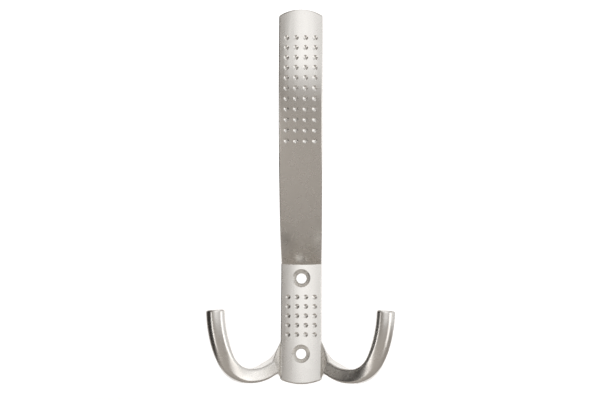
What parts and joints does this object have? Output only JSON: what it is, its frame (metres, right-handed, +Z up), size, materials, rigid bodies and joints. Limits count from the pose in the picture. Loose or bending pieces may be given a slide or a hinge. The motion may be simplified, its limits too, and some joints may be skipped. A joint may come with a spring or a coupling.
{
  "type": "coat hook",
  "caption": "Wall-mounted cast metal coat and hat hook: a long dimpled prong curves up from a flat screw plate, with a small curved arm on each side.",
  "frame": {"origin": "on the wall face, on the plate's centre line, halfway between the two screw holes", "axes": "+Z up along the plate and the long prong, +Y into the wall, +X to the right as seen from the room; the front faces -Y"},
  "size_m": [0.089, 0.066, 0.1695],
  "materials": {
    "satin_nickel": "satin nickel plating with a fine matt grain"
  },
  "bodies": {
    "root": {"hook": "satin_nickel"}
  },
  "joints": []
}
